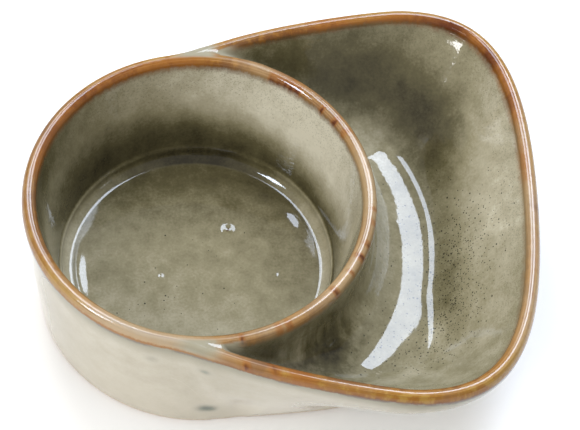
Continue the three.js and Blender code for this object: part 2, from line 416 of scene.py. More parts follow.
def corner_rise(x, y, radius):
    """The floor lifts a little towards the tray's front corner."""
    beyond = (x - y - CORNER_RISE_FROM) / math.sqrt(2)
    beyond = CORNER_RISE_BLEND * np.logaddexp(0, beyond / CORNER_RISE_BLEND)
    return CORNER_RISE * beyond * smoothstep(-y, *CORNER_FRONT) * (1 - smoothstep(radius, *CORNER_END))


def ripple(x, y):
    """Low waves on the tray's floor, a slow set that bends and a quick one that slants."""
    slow = np.sin(y / RIPPLE_SLOW + RIPPLE_BEND * np.sin(x / RIPPLE_BEND_LENGTH))
    quick = np.sin(y / RIPPLE_QUICK - x / RIPPLE_SLANT + RIPPLE_PHASE)
    return RIPPLE * (slow + RIPPLE_QUICK_SHARE * quick)


def cove_line(top, corner, end, angle):
    """Curve from the divider to the tray, which fills up its corner towards the tips."""
    fill = COVE_FILL * float(smoothstep(abs(angle), COVE_FILL_START, JUNCTION_ANGLE))
    pull = mix(corner, (top + end) / 2, fill)
    t = np.linspace(0, 1, COVE_POINTS)[:, None]
    return (1 - t) ** 2 * top + 2 * t * (1 - t) * pull + t * t * end


def valley_section(angle):
    """From the divider across the tray to its crest: rows of radius, height, and the way from either
    crest. Also the bed of the coil, from the end of its cove back to the corner under it."""
    rim, half = float(crest(angle)), float(lip_half(angle))
    inside = rim - half
    crease = crease_radius(angle)
    corner_z = corner_height(crease, inside, rim, half)
    down = cup_side(corner_z)
    up = tray_side(corner_z, crease, inside, rim, half)
    down_run, up_run = arc_length(down)[-1], arc_length(up)[-1]
    size = 1 + COVE_WIDER * float(smoothstep(angle, *COVE_WIDER_TURN))
    cove_top = down_run - min(COVE_UP * size, COVE_UP_SHARE * down_run)
    cove_end = min(COVE_RUN * size, COVE_RUN_SHARE * up_run)
    cove = cove_line(at_length(down, cove_top), down[-1], at_length(up, cove_end), angle)
    cove_run = arc_length(cove)[-1]
    line = resample(np.concatenate([
        at_length(down, np.linspace(0, cove_top, DIVIDER_POINTS))[:-1],
        cove,
        at_length(up, np.linspace(cove_end, up_run, DISH_POINTS))[1:],
    ]), VALLEY_POINTS)
    run = arc_length(line)
    whole = run[-1]
    sigma = min(VALLEY_SOFTNESS, VALLEY_SOFT_SHARE * whole)
    low, high = (share * min(whole, VALLEY_ENDS) for share in VALLEY_END_SHARES)
    line = soften(line, sigma, smoothstep(run, low, high) * smoothstep(whole - run, low, high))
    start = max(cove_top - COIL_LEAD * sigma, COIL_START_SHARE * whole)
    end = min(cove_top + cove_run + COIL_RUN_ON, COIL_END_SHARE * whole)
    crowded = 1 - (1 - np.linspace(0, 1, DISH_COLUMNS)) ** CREST_CROWDING
    wanted = np.concatenate([np.linspace(start, end, COIL_COLUMNS)[:-1], end + (whole - end) * crowded])
    points = at_length(line, wanted * arc_length(line)[-1] / whole)
    bed_end = cove_end + max(end - cove_top - cove_run, 0)
    bed = at_length(up, np.linspace(bed_end, 0, BED_POINTS + 1)[1:])
    return np.column_stack([points, wanted, whole - wanted]), bed - (0, BED_DEPTH)


# Placing and meshing
def swell(turn, amount, waves, phase):
    """A wave round the axis that never falls below 0."""
    return amount * (1 + np.sin(waves * turn + phase))


def wobble(p):
    """The small unevenness of handmade ware. It only ever draws the shape in."""
    turn = np.arctan2(p[..., 1], p[..., 0] - CUP_AXIS_X)
    draw = swell(turn, *OVAL_SWELL) + swell(turn, *SQUARE_SWELL)
    out = p.copy()
    out[..., :2] *= (1 - draw)[..., None]
    out[..., 2] -= swell(turn, *RIM_DIP_SWELL) * np.clip(p[..., 2] / RIM_HEIGHT, 0, 1) ** 2
    return out


def place(angles, radius, height):
    """Grid of points from angles (rows) and section lines (columns)."""
    turn = np.radians(np.asarray(angles, float))[:, None]
    flat = np.stack([CUP_AXIS_X + radius * np.cos(turn), radius * np.sin(turn), height + 0 * turn], -1)
    return wobble(flat)


def grid_normals(grid, up):
    """Normals of a grid, turned to the side that up points to."""
    n = np.cross(np.gradient(grid, axis=1), np.gradient(grid, axis=0))
    n /= np.maximum(np.linalg.norm(n, axis=-1, keepdims=True), TINY)
    wrong = np.sum(n * up, axis=-1).mean() < 0
    return -n if wrong else n


def signed_volume(points, faces):
    a, b, c, d = (points[faces[:, k]] for k in range(4))
    return float(np.sum(a * np.cross(b, c)) + np.sum(a * np.cross(c, d)))


def corner_normals(runs, shape, here, there):
    """Normals for the corners of all quads, and zeros, which leave them to Blender, where a run has none."""
    bend = np.zeros(shape + (3,))
    column = 0
    for grid, normals, _ in runs:
        width = grid.shape[1] - 1
        if normals is not None:
            a, b = normals[:, :-1], normals[:, 1:]
            bend[:, column:column + width] = np.stack([a[here], a[there], b[there], b[here]], 2)
        column += width
    return bend


def end_caps(rows, count, closed, loop):
    """Flat faces over the ends that rows and columns leave open."""
    if not closed:
        return [list(range(count)), [rows * count - 1 - k for k in range(count)]]
    if not loop:
        return [[k * count for k in range(rows)][::-1], [k * count + count - 1 for k in range(rows)]]
    return []


def build(name, runs, closed, loop):
    """One closed piece from runs of grid columns, each (grid, normals or None, notes). The last column
    of a run is the first of the next. closed joins the last row to the first, loop the last column to
    the first, and flat faces close what is left open."""
    kept = [grid if not loop and k == len(runs) - 1 else grid[:, :-1] for k, (grid, _, _) in enumerate(runs)]
    points = np.concatenate(kept, axis=1)
    rows, count = points.shape[:2]
    i = np.arange(rows if closed else rows - 1)[:, None]
    j = np.arange(count if loop else count - 1)[None, :]
    ni, nj = (i + 1) % rows, (j + 1) % count
    quads = np.stack([i * count + j, ni * count + j, ni * count + nj, i * count + nj], -1)
    bend = corner_normals(runs, quads.shape, i[:, 0], ni[:, 0])
    caps = end_caps(rows, count, closed, loop)
    flat = points.reshape(-1, 3)
    quads, bend = quads.reshape(-1, 4), bend.reshape(-1, 4, 3)
    if signed_volume(flat, quads) < 0:
        quads, bend = quads[:, ::-1], bend[:, ::-1]
        caps = [cap[::-1] for cap in caps]
    mesh = bpy.data.meshes.new(name)
    mesh.from_pydata((flat * MM).tolist(), [], quads.tolist() + caps, shade_flat=False)
    mesh.set_sharp_from_angle(angle=math.radians(SHARP_ANGLE))
    loose = sum(len(cap) for cap in caps)
    mesh.normals_split_custom_set(np.concatenate([bend.reshape(-1, 3), np.zeros((loose, 3))]).tolist())
    for key in runs[0][2]:
        values = np.concatenate([
            np.broadcast_to(notes[key], grid.shape[:2])[:, :part.shape[1]]
            for (grid, _, notes), part in zip(runs, kept)], axis=1)
        layer = mesh.attributes.new(key, "FLOAT", "POINT")
        layer.data.foreach_set("value", values.reshape(-1).astype(np.float32))
    piece = bpy.data.objects.new(name, mesh)
    scene.collection.objects.link(piece)
    return piece


# Point values that steer the glaze. Tone runs from 0, thick and dark, to 1, thin and pale, and also carries
# painted light and shade: pale where the lamps reach a wall, dark where a wall is turned from them.
# Patches are x, y, z, reach and amount.
# Tone of the tray: painted light on its right wall, painted shade on its back wall and beside the cup, among
# paler and darker patches of glaze
TRAY_TONE_AND_SHADE = (
    (84, 5, 53, 28, 0.26), (76, -45, 48, 24, 0.08), (80, 44, 54, 16, 0.14), (60, 72, 56, 14, 0.06),
    (45, 66, 42, 22, -0.26), (62, 52, 35, 17, -0.34), (24, 70, 48, 20, -0.22), (0, 70, 56, 16, -0.22),
    (63, 32, 28, 14, -0.20), (63, 8, 28, 13, -0.18), (64, -14, 28, 14, -0.24), (60, -34, 28, 12, -0.10),
    (37, 49, 27, 13, 0.26), (16, -48, 31, 11, -0.40), (-2, -58, 52, 12, -0.16), (22, -36, 42, 16, -0.16),
    (6, -52, 46, 9, 0.16), (19, -44, 56, 9, -0.18), (59, -37, 27, 5, 0.22), (48, -56, 31, 5, 0.22),
    (38, -62, 35, 6, 0.14),
)
IRON = (
    (65, -8, 29, 15, 0.9), (67, -30, 32, 14, 0.85), (52, -42, 29, 14, 0.45), (38, -36, 28, 10, 0.12),
    (74, 4, 42, 14, 0.3), (57, 16, 28, 12, 0.2), (-40, -16, 16, 26, 0.03),
)
TAN_RIM = (
    (34, 6, 63, 24, 1.0), (22, -36, 63, 20, 0.9), (16, 42, 63, 14, 0.3), (-4, -58, 63, 10, 0.6),
    (84, -50, 62, 22, 0.5), (-62, -56, 62, 24, 0.75), (-40, -63, 63, 18, 0.85), (-6, 55, 63, 10, 0.7),
)
# Tan inside the right rim; its outer side takes less of it and is darker there, as painted shade
TAN_INSIDE = ((92, 6, 62, 40, 0.8),)
TAN_SHADED_OUTSIDE_SHARE = 0.45
RUST = (
    (-2.5, 53, 61, 1.3, 1.0), (0, 51.8, 61.2, 1.3, 0.9), (2.5, 50.6, 61.4, 1.3, 0.9),
    (5, 49.2, 61.6, 1.3, 1.0), (7.2, 47.4, 62, 1.1, 1.1), (15.8, 39, 62, 0.9, 1.2),
    (20.4, 33.6, 62.2, 1.0, 1.2), (24, 28.5, 62.6, 1.4, 0.5), (34, -5, 63.2, 0.8, 0.7),
    (34, -11.4, 62.7, 0.9, 0.7), (31.4, -20.7, 62.9, 1.0, 0.9), (28.6, -26.2, 63, 1.2, 1.0),
    (24.6, -32.8, 63, 0.8, 0.7), (18.8, -41, 62.8, 1.0, 1.0), (-2, -56.6, 63, 1.2, 0.6),
    (2, -55.6, 63, 1.2, 0.6), (-15.2, -61.6, 62.6, 0.9, 1.1), (-13.5, -72.8, 62.8, 1.0, 1.1),
    (-3.7, -73.8, 63, 1.6, 0.7), (5, -75.6, 62, 4.6, 0.45), (20, 79, 61, 7, 0.45),
    (-17.4, 16.8, 15.8, 0.5, 1.0),
)
RUST_INSIDE = (
    (48, 79, 61, 9, 0.5), (64, 75, 61, 9, 0.8), (77, 62, 61, 9, 0.8), (85, 44, 61, 9, 0.6),
    (92, 16, 61, 10, 0.35), (-86, 22, 61, 12, 0.5), (-74, 44, 61, 12, 0.6), (-56, 56, 61, 12, 0.5),
    (-36, 61, 61, 10, 0.35),
)
DRIP_LENGTH = 2.4
PLAIN_PATCHES = {
    # Mauve on the rims; the patch at x 94 is painted shade on the outer side of the right rim
    "mauve": ((-92, 6, 62, 28, 0.6), (-80, 40, 62, 18, 0.4), (94, 0, 62, 40, 0.45)),
    "streaks": ((8, -52, 42, 14, 1.0), (24, -38, 36, 12, 0.7), (38, 48, 30, 14, 0.3)),
    # Painted shade on the outside, most of it on the left side
    "shade": ((-95, -22, 38, 30, 0.9), (-20, -66, 52, 14, 0.4), (40, -80, 52, 22, 0.4)),
    # Painted light on the outside, mostly on the front flank under the flare
    "pale": ((4, -58, 10, 18, 0.55), (30, -74, 40, 12, 0.2)),
    "stain": (
        (-27.8, -65.6, 48.5, 2.0, 0.7), (-27, -59.1, 11.8, 2.6, 1.0), (-24, -59.2, 11, 2.0, 0.8),
        (-47, -62, 49, 2.2, 0.5)),
}

# Tone inside the cup, with painted light and shade: the usual value, the value where the wall faces an angle,
# that angle and its spread
WALL_TOP_TONE = (0.50, 1.0, 45, 62)
WALL_FOOT_TONE = (0.12, 0.35, 190, 32)
# Painted shade high on the left wall, which is turned from the light, and the heights where it comes in
WALL_LEFT_PAINTED_SHADE = (0, 0.36, 185, 40)
WALL_LEFT_PAINTED_SHADE_HEIGHTS = (42, 56)
# Height where the dark foot of the wall gives way to the painted light above it
WALL_EDGE_HEIGHT = (39, 30, 15, 60)
WALL_EDGE_BLEND = 12
LEDGE_TONE = (0.68, 0.0, 90, 50)
LEDGE_INNER_RADII = (46.2, 47.0)
LEDGE_OUTER_RADII = (50.4, 51.2)
# Cup floor: painted shade at its back, under the back wall, painted light at its front, and darker towards
# the right
FLOOR_TONE = 0.48
FLOOR_BACK_PAINTED_SHADE = (0.24, 5, 42)
FLOOR_FRONT_PAINTED_LIGHT = (0.11, 0, 30)
FLOOR_RIGHT_DARKER = (0.10, 10, 35)

# Celadon pools where the rims meet: a saddle on top, and a sliver down the inside of the tray
SADDLE_ANGLES = (82, 87)
SADDLE_HEIGHTS = (60.2, 62.4)
SLIVER_ANGLES = (74, 80)
SLIVER_HEIGHTS = (54, 59)
SLIVER_WAYS = (1.4, 2.6)
CELADON_END_ANGLES = (101, 93)
CELADON_INNER_RADII = (CUP_CREST - 0.8, CUP_CREST + 0.6)
CELADON_OUTER_RADII = (71, 66)

# Ways from a crest that stand for out of sight and for low down, and other limits of the glaze
HIDDEN_WAY = 80.0
FOOT_WAY = 60.0
BARE_HEIGHTS = (0.7, 1.8)
TRAY_FACE_ANGLES = (86, 92)
TRAY_FACE_HEIGHTS = (24, 30)


def patches(grid, spots):
    total = np.zeros(grid.shape[:2])
    for x, y, z, reach, amount in spots:
        total += amount * np.exp(-np.sum((grid - (x, y, z)) ** 2, axis=-1) / reach ** 2)
    return total


def drips(grid, spots):
    """Like patches, but drawn out across the rim, the way that glaze runs."""
    total = np.zeros(grid.shape[:2])
    for x, y, z, reach, amount in spots:
        away = np.array((x - CUP_AXIS_X, y)) / math.hypot(x - CUP_AXIS_X, y)
        off = grid - (x, y, z)
        along = off[..., 1] * away[0] - off[..., 0] * away[1]
        across = np.hypot(off[..., :2] @ away, off[..., 2]) / DRIP_LENGTH
        total += amount * np.exp(-(along ** 2 + across ** 2) / reach ** 2)
    return total


def facing(angle, usual, there, middle, spread):
    """The usual value, going over to another where the wall faces the middle angle."""
    return mix(usual, there, np.exp(-((((angle - middle + 180) % 360) - 180) / spread) ** 2))


def grown(value, amount, low, high):
    return amount * smoothstep(value, low, high)


def cup_tone_and_shade(angle, radius, z):
    """Tone inside the cup, painted light and shade in part: dark at the foot of the wall, pale above it on
    the side that the light reaches.
    """
    x, y = radius * np.cos(np.radians(angle)), radius * np.sin(np.radians(angle))
    edge = facing(angle, *WALL_EDGE_HEIGHT)
    top = facing(angle, *WALL_TOP_TONE) - facing(angle, *WALL_LEFT_PAINTED_SHADE) * smoothstep(z, *WALL_LEFT_PAINTED_SHADE_HEIGHTS)
    upward = smoothstep(z, edge - WALL_EDGE_BLEND, edge + WALL_EDGE_BLEND)
    wall = mix(facing(angle, *WALL_FOOT_TONE), top, upward)
    # Painted shade at the back of the floor and painted light at its front
    floor = FLOOR_TONE - grown(y, *FLOOR_BACK_PAINTED_SHADE)
    floor = floor + grown(-y, *FLOOR_FRONT_PAINTED_LIGHT) - grown(x, *FLOOR_RIGHT_DARKER)
    low = mix(floor, facing(angle, *LEDGE_TONE), smoothstep(radius, *LEDGE_INNER_RADII))
    return mix(low, wall, smoothstep(radius, *LEDGE_OUTER_RADII))


def tip_pools(turned, radius, z, way, inside):
    """1 in the pale pools where the rims meet."""
    saddle = smoothstep(turned, *SADDLE_ANGLES) * smoothstep(z, *SADDLE_HEIGHTS)
    sliver = smoothstep(turned, *SLIVER_ANGLES) * smoothstep(way, *SLIVER_WAYS)
    sliver = sliver * smoothstep(z, *SLIVER_HEIGHTS) * inside
    between = smoothstep(radius, *CELADON_INNER_RADII) * smoothstep(radius, *CELADON_OUTER_RADII)
    return np.maximum(saddle, sliver) * smoothstep(turned, *CELADON_END_ANGLES) * between


def glaze_notes(grid, way, inside, bare=0.0, cup=False):
    """Point values of a grid: way is that from the crest in millimetres, inside and bare are shares."""
    x, y, z = grid[..., 0] - CUP_AXIS_X, grid[..., 1], grid[..., 2]
    angle, radius = np.degrees(np.arctan2(y, x)), np.hypot(x, y)
    tan = patches(grid, TAN_RIM) + patches(grid, TAN_INSIDE) * mix(TAN_SHADED_OUTSIDE_SHARE, 1, inside)
    rust = drips(grid, RUST) + drips(grid, RUST_INSIDE) * inside
    notes = {
        "crest_mm": way,
        "inside": inside,
        "tone_and_shade": cup_tone_and_shade(angle, radius, z) if cup else 0.5 + patches(grid, TRAY_TONE_AND_SHADE),
        "tan": np.clip(tan, 0, 1),
        "tip": tip_pools(np.abs(angle), radius, z, way, inside),
        "iron": patches(grid, IRON) * inside,
        "rust": np.clip(rust, 0, 1),
        "bare": bare,
    }
    notes.update({key: np.clip(patches(grid, spots), 0, 1) for key, spots in PLAIN_PATCHES.items()})
    return notes


# Shared grids round the tray
tip_angles = np.arange(JUNCTION_ANGLE, TIP_ANGLE + TIP_STEP / 2, TIP_STEP)
tray_angles = np.arange(TRAY_STEP - JUNCTION_ANGLE, JUNCTION_ANGLE, TRAY_STEP)
ANGLES = np.concatenate([-tip_angles[::-1], tray_angles, tip_angles])
COIL_END = COIL_COLUMNS - 1
turns = np.radians(ANGLES)[:, None]

sections = [valley_section(a) for a in ANGLES]
valley_rows = np.array([rows for rows, _ in sections])
beds = np.array([bed for _, bed in sections])
valley_radius = valley_rows[..., 0]
valley_way = np.minimum(valley_rows[..., 2], valley_rows[..., 3])
valley_x = CUP_AXIS_X + valley_radius * np.cos(turns)
valley_y = valley_radius * np.sin(turns)
valley_lift = corner_rise(valley_x, valley_y, valley_radius) * smoothstep(valley_way, *CORNER_WAYS)
valley_waves = ripple(valley_x, valley_y) * smoothstep(valley_way, *RIPPLE_WAYS)
valley = place(ANGLES, valley_radius, valley_rows[..., 1] + valley_lift + valley_waves)
valley_normals = grid_normals(valley, (0, 0, 1))

outer_lines = np.array([outer_line(a) for a in ANGLES])
outer = place(ANGLES, outer_lines[..., 0], outer_lines[..., 1])
outer_normals = grid_normals(outer, np.stack([np.cos(turns), np.sin(turns), 0 * turns], -1))
outer_way = np.array([arc_length(line) for line in outer_lines])
valley_normals[:, -1] = outer_normals[:, 0] = (0, 0, 1)


def soup_cup():
    angles = np.linspace(-180, 180, CUP_ROWS, endpoint=False)
    outside = wall_line(CUP_CREST, LIP, cup_outside, FOOT_HEIGHT, OUTER_COLUMNS)[::-1]
    inside = cup_inside_line(CUP_COLUMNS)
    under = np.array([
        (FLAT_DISC, UNDERSIDE_HEIGHT), (UNDERSIDE_RADIUS, UNDERSIDE_HEIGHT),
        (UNDERSIDE_RADIUS + UNDERSIDE_BEVEL, FOOT_HEIGHT), tuple(outside[0])])
    tray_face = 1 - smoothstep(np.abs(angles), *TRAY_FACE_ANGLES)[:, None]
    tray_face = tray_face * smoothstep(outside[:, 1], *TRAY_FACE_HEIGHTS)
    pools = glaze_pools(angles[:, None], inside[:, 0])
    runs = []
    for line, lift, way, side, cup in (
            (under, 0.0, HIDDEN_WAY, 0.0, False),
            (outside, 0.0, arc_length(outside)[-1] - arc_length(outside), tray_face, False),
            (inside, pools, arc_length(inside), 1.0, True)):
        grid = place(angles, line[:, 0], line[:, 1] + lift)
        runs.append((grid, None, glaze_notes(grid, way, side, cup=cup)))
    return build("soup_cup", runs, True, False)


def cracker_tray():
    rows = np.abs(ANGLES) <= JUNCTION_ANGLE
    angles = ANGLES[rows]
    start = feather_start(angles)
    opened = 1 - smoothstep(np.abs(angles), HOLLOW_FULL_ANGLE, HOLLOW_END_ANGLE)
    ceiling = mix(start + SKIRT_STEP, HOLLOW_CEILING, opened)

    def inner_wall(z):
        face = cup_outside(z)
        return mix(face, np.maximum(skin(angles, z) - SKIRT_THICKNESS, face), mix(SKIRT_LEAST, 1, opened))

    foot = outer_lines[rows, -1]
    under = beds[rows, ::-1] - (0, BED_DEPTH)
    skirt = (inner_wall(start), inner_wall(ceiling), cup_outside(ceiling))
    radii = np.column_stack([foot[:, 0], *skirt, under[..., 0]])
    heights = np.column_stack([foot[:, 1], start, ceiling, ceiling, under[..., 1]])
    hidden = np.concatenate([place(angles, radii, heights), valley[rows, COIL_END:COIL_END + 1]], axis=1)
    shell, dish = outer[rows], valley[rows, COIL_END:]
    hidden[:, 0] = shell[:, -1]
    return build("cracker_tray", [
        (shell, outer_normals[rows], glaze_notes(shell, outer_way[rows], 0.0)),
        (hidden, None, glaze_notes(hidden, HIDDEN_WAY, 0.0)),
        (dish, valley_normals[rows, COIL_END:], glaze_notes(dish, valley_way[rows, COIL_END:], 1.0)),
    ], False, True)


def seam_coil():
    rows = np.abs(ANGLES) <= JUNCTION_ANGLE
    columns = slice(0, COIL_END + 1)
    cove = valley[rows, columns]
    bed = place(ANGLES[rows], beds[rows, :, 0], beds[rows, :, 1])
    bed = np.concatenate([cove[:, -1:], bed, cove[:, :1]], axis=1)
    return build("seam_coil", [
        (cove, valley_normals[rows, columns], glaze_notes(cove, valley_way[rows, columns], 1.0)),
        (bed, None, glaze_notes(bed, HIDDEN_WAY, 1.0)),
    ], False, True)


def junction(name, side):
    rows = ANGLES * side >= JUNCTION_ANGLE
    angles = ANGLES[rows]
    shell, saddle = outer[rows], valley[rows]
    inner = place(angles, CUP_RIM - TIP_INSET, LIP_HEIGHT - TIP_DEPTH)
    hidden = np.concatenate([shell[:, -1:], inner, saddle[:, :1]], axis=1)
    return build(name, [
        (shell, outer_normals[rows], glaze_notes(shell, outer_way[rows], 0.0)),
        (hidden, None, glaze_notes(hidden, HIDDEN_WAY, 0.0)),
        (saddle, valley_normals[rows], glaze_notes(saddle, valley_way[rows], 1.0)),
    ], False, True)


def foot_ring():
    angles = np.linspace(-180, 180, FOOT_ROWS, endpoint=False)
    top = skin(angles, FOOT_HEIGHT)
    foot = np.minimum(base_radius(angles), skin(angles, FOOT_ROUND))
    inside = foot - FOOT_WIDTH
    turn = np.radians(np.linspace(0, 90, FOOT_POINTS))
    radius = [top, (top + foot) / 2] + [foot - FOOT_ROUND * (1 - math.cos(t)) for t in turn]
    height = [FOOT_HEIGHT, (FOOT_HEIGHT + FOOT_ROUND) / 2] + [FOOT_ROUND * (1 - math.sin(t)) for t in turn]
    radius += [inside + FOOT_INNER_ROUND * (1 - math.sin(t)) for t in turn]
    height += [FOOT_INNER_ROUND * (1 - math.cos(t)) for t in turn]
    radius += [inside, top]
    height += [FOOT_HEIGHT, FOOT_HEIGHT]
    grid = place(angles, np.stack(radius, 1), np.array(height)[None, :])
    bare = 1 - smoothstep(grid[..., 2], *BARE_HEIGHTS)
    return build("foot_ring", [(grid, None, glaze_notes(grid, FOOT_WAY, 0.0, bare))], True, True)


# Colours of the glaze
def colour(r, g, b):
    """Linear colour from display values of 0 to 255."""
    lin = [v / 12.92 if v <= 0.04045 else ((v + 0.055) / 1.055) ** 2.4 for v in (r / 255, g / 255, b / 255)]
    return (*lin, 1.0)


def stops(*rows):
    """Stops of a ramp from rows of place, red, green and blue."""
    return [(at, colour(r, g, b)) for at, r, g, b in rows]


OLIVE = stops(
    (0.0, 44, 39, 22), (0.25, 84, 78, 53), (0.5, 130, 123, 97), (0.75, 168, 161, 138), (1.0, 208, 202, 182))
SHELL = stops((0.0, 158, 151, 130), (0.5, 178, 170, 151), (1.0, 192, 185, 168))
SHELL_LOW = colour(206, 198, 180)
SHELL_PAINTED_SHADE = colour(150, 143, 123)
SHELL_PAINTED_LIGHT = colour(226, 219, 203)
SHELL_NEAR_RIM = colour(130, 126, 104)
SHELL_STAIN = colour(104, 111, 99)
FRECKLE = colour(74, 70, 48)
IRON_SPECK = colour(34, 32, 24)
BUBBLE_RUST = colour(70, 46, 22)
HONEY = stops((0.0, 140, 104, 58), (0.3, 144, 98, 36), (0.65, 126, 80, 26), (1.0, 94, 62, 34))
TOFFEE = stops((0.0, 120, 84, 46), (0.3, 112, 68, 20), (0.65, 96, 54, 16), (1.0, 80, 50, 30))
GOLDEN = stops((0.0, 156, 122, 80), (0.25, 154, 119, 50), (0.8, 148, 111, 44), (1.0, 108, 74, 44))
DEEP = stops((0.0, 146, 104, 60), (0.25, 138, 93, 25), (0.8, 128, 80, 15), (1.0, 96, 58, 40))
TAN_OF_INSIDE = stops((0.0, 163, 142, 113), (0.3, 155, 131, 96), (0.7, 146, 122, 86), (1.0, 134, 116, 85))
TAN_OF_OUTSIDE = stops((0.0, 164, 150, 132), (0.3, 164, 147, 122), (0.68, 166, 140, 104), (0.84, 140, 94, 38))
# Mauve brown of the rims, also painted shade on the right rim's outer side
MAUVE_BROWN = colour(100, 70, 46)
DARK_LINE = colour(94, 56, 30)
PALE_LINE = colour(186, 150, 108)
RUST_HALO = colour(138, 82, 28)
RUST_CORE = colour(78, 32, 10)
# Pale crest line, part thin glaze and part painted highlight
CREST_BREAK_AND_HIGHLIGHT = colour(206, 186, 168)
UNDERLINE = colour(92, 72, 64)
CELADON_DARK = colour(134, 128, 107)
CELADON_PALE = colour(156, 150, 130)
CLAY_DARK = colour(170, 144, 112)
CLAY_PALE = colour(206, 184, 154)

# Noise of the glaze: scale per metre, detail and roughness, and how far it is drawn out
MOTTLE = (120, 4, 0.55)
GRAIN = (1000, 2, 0.6)
STREAK = (260, 3, 0.6)
STREAK_STRETCH = (1, 1, 0.12)
DRIP = (330, 4, 0.7)
DRIP_STRETCH = (1, 1, 0.35)
DRIFT = (58, 3, 0.6)
PATCHY = (75, 2, 0.5)
DIMPLES = (380, 2, 0.5)

# Lines along the crest: their noise, and its steps per millimetre across the rim and per metre along it
CREST_LINES = (1.0, 2, 0.5)
CREST_LINES_ACROSS = 1.3
CREST_LINES_ALONG = 30.0

# Dots: cells per metre and size within the cell, for a coarse and a fine set
FRECKLE_DOTS = ((1000, 0.24), (1500, 0.30))
IRON_DOTS = ((780, 0.23), (1250, 0.28))
DOT_SHARPNESS = 14.0

# Width of the rim's brown band, how far its edge wanders, and ways from the crest, all in millimetres
RIM_BAND = 5.0
RIM_BAND_OUTSIDE = 5.4
EDGE_GRAIN = 1.4
EDGE_DRIP = (1.0, 2.8)
LOW_WAYS = (25.0, 55.0)
NEAR_RIM_WAYS = (16.0, 5.0)
FRECKLE_STARTS = (3.0, 6.0)
FRECKLE_ENDS = (24.0, 8.0)
BUBBLE_WAYS = (30.0, 40.0)
LINE_WAYS = (3.4, 2.0)
# Ways of the pale crest line, part thin glaze and part painted highlight
CREST_HIGHLIGHT_WAYS = (0.45, 0.12)

# Gloss
GLAZE_IOR = 1.52
GLAZE_ROUGHNESS = 0.05
CLAY_ROUGHNESS = 0.75
GLAZE_SPECULAR = 0.5
RIM_SPECULAR = 0.44
DIMPLE_STRENGTH = 0.03
DIMPLE_HEIGHT = 0.001


class Shader:
    """A material, and short ways to add nodes to it."""

    def __init__(self, name):
        self.material = bpy.data.materials.new(name)
        self.material.use_nodes = True
        self.tree = self.material.node_tree
        self.tree.nodes.clear()
        self.where = self.node("TexCoord").outputs["Object"]

    def node(self, kind, inputs=None, **settings):
        """A node with its settings, and with values or other nodes' outputs on its inputs."""
        made = self.tree.nodes.new("ShaderNode" + kind)
        for key, value in settings.items():
            setattr(made, key, value)
        for key, value in (inputs or {}).items():
            if isinstance(value, bpy.types.NodeSocket):
                self.tree.links.new(value, made.inputs[key])
            else:
                made.inputs[key].default_value = value
        return made

    def finish(self, shader):
        self.node("OutputMaterial", {"Surface": shader.outputs[0]})
        return self.material

    def note(self, name):
        return self.node("Attribute", attribute_name=name).outputs["Fac"]

    def math(self, operation, a, b=0.0, clamp=False):
        return self.node("Math", {0: a, 1: b}, operation=operation, use_clamp=clamp).outputs[0]

    def times(self, first, *others):
        for other in others:
            first = self.math("MULTIPLY", first, other)
        return first

    def waver(self, value, field, amount, clamp=False):
        """The value, moved up and down by a noise field about its middle."""
        return self.math("ADD", value, self.times(self.math("SUBTRACT", field, 0.5), amount), clamp)

    def step(self, value, low, high):
        """0 below low, 1 above high, smooth between. With low above high it falls."""
        falls = low > high
        inputs = {"Value": value, "From Min": min(low, high), "From Max": max(low, high)}
        inputs.update({"To Min": float(falls), "To Max": float(not falls)})
        return self.node("MapRange", inputs, interpolation_type="SMOOTHSTEP").outputs["Result"]

    def mix(self, share, a, b):
        """Colour a, going over to b."""
        return self.node("Mix", {0: share, 6: a, 7: b}, data_type="RGBA").outputs[2]

    def between(self, share, a, b):
        """Number a, going over to b."""
        return self.node("Mix", {0: share, 2: a, 3: b}, data_type="FLOAT").outputs[0]

    def ramp(self, value, rows):
        made = self.node("ValToRGB", {0: value})
        elements = made.color_ramp.elements
        while len(elements) < len(rows):
            elements.new(0.5)
        for element, (at, shade) in zip(elements, rows):
            element.position = at
            element.color = shade
        return made.outputs[0]

    def noise(self, scale, detail, rough, where=None):
        vector = self.where if where is None else where
        inputs = {"Vector": vector, "Scale": scale, "Detail": detail, "Roughness": rough}
        return self.node("TexNoise", inputs).outputs[0]

    def stretch(self, x, y, z):
        return self.node("VectorMath", {0: self.where, 1: (x, y, z)}, operation="MULTIPLY").outputs[0]

    def alongside(self, way, fine, coarse):
        """Coordinates that change fast across the rim and slowly along it."""
        parts = self.node("SeparateXYZ", {0: self.where})
        x, y = (self.times(parts.outputs[k], coarse) for k in (0, 1))
        return self.node("CombineXYZ", {0: self.times(way, fine), 1: x, 2: y}).outputs[0]

    def dots(self, scale, size, share):
        """1 in small round dots, one in each cell of the surface for the given share of cells."""
        made = self.node("TexVoronoi", {"Vector": self.where, "Scale": scale}, feature="F1")
        parts = self.node("SeparateColor", {0: made.outputs["Color"]})
        reach = self.times(self.math("ADD", parts.outputs[1], 0.5), size)
        depth = self.math("SUBTRACT", reach, made.outputs["Distance"])
        dot = self.math("MULTIPLY", depth, DOT_SHARPNESS, clamp=True)
        return self.times(dot, self.math("GREATER_THAN", share, parts.outputs[0]))


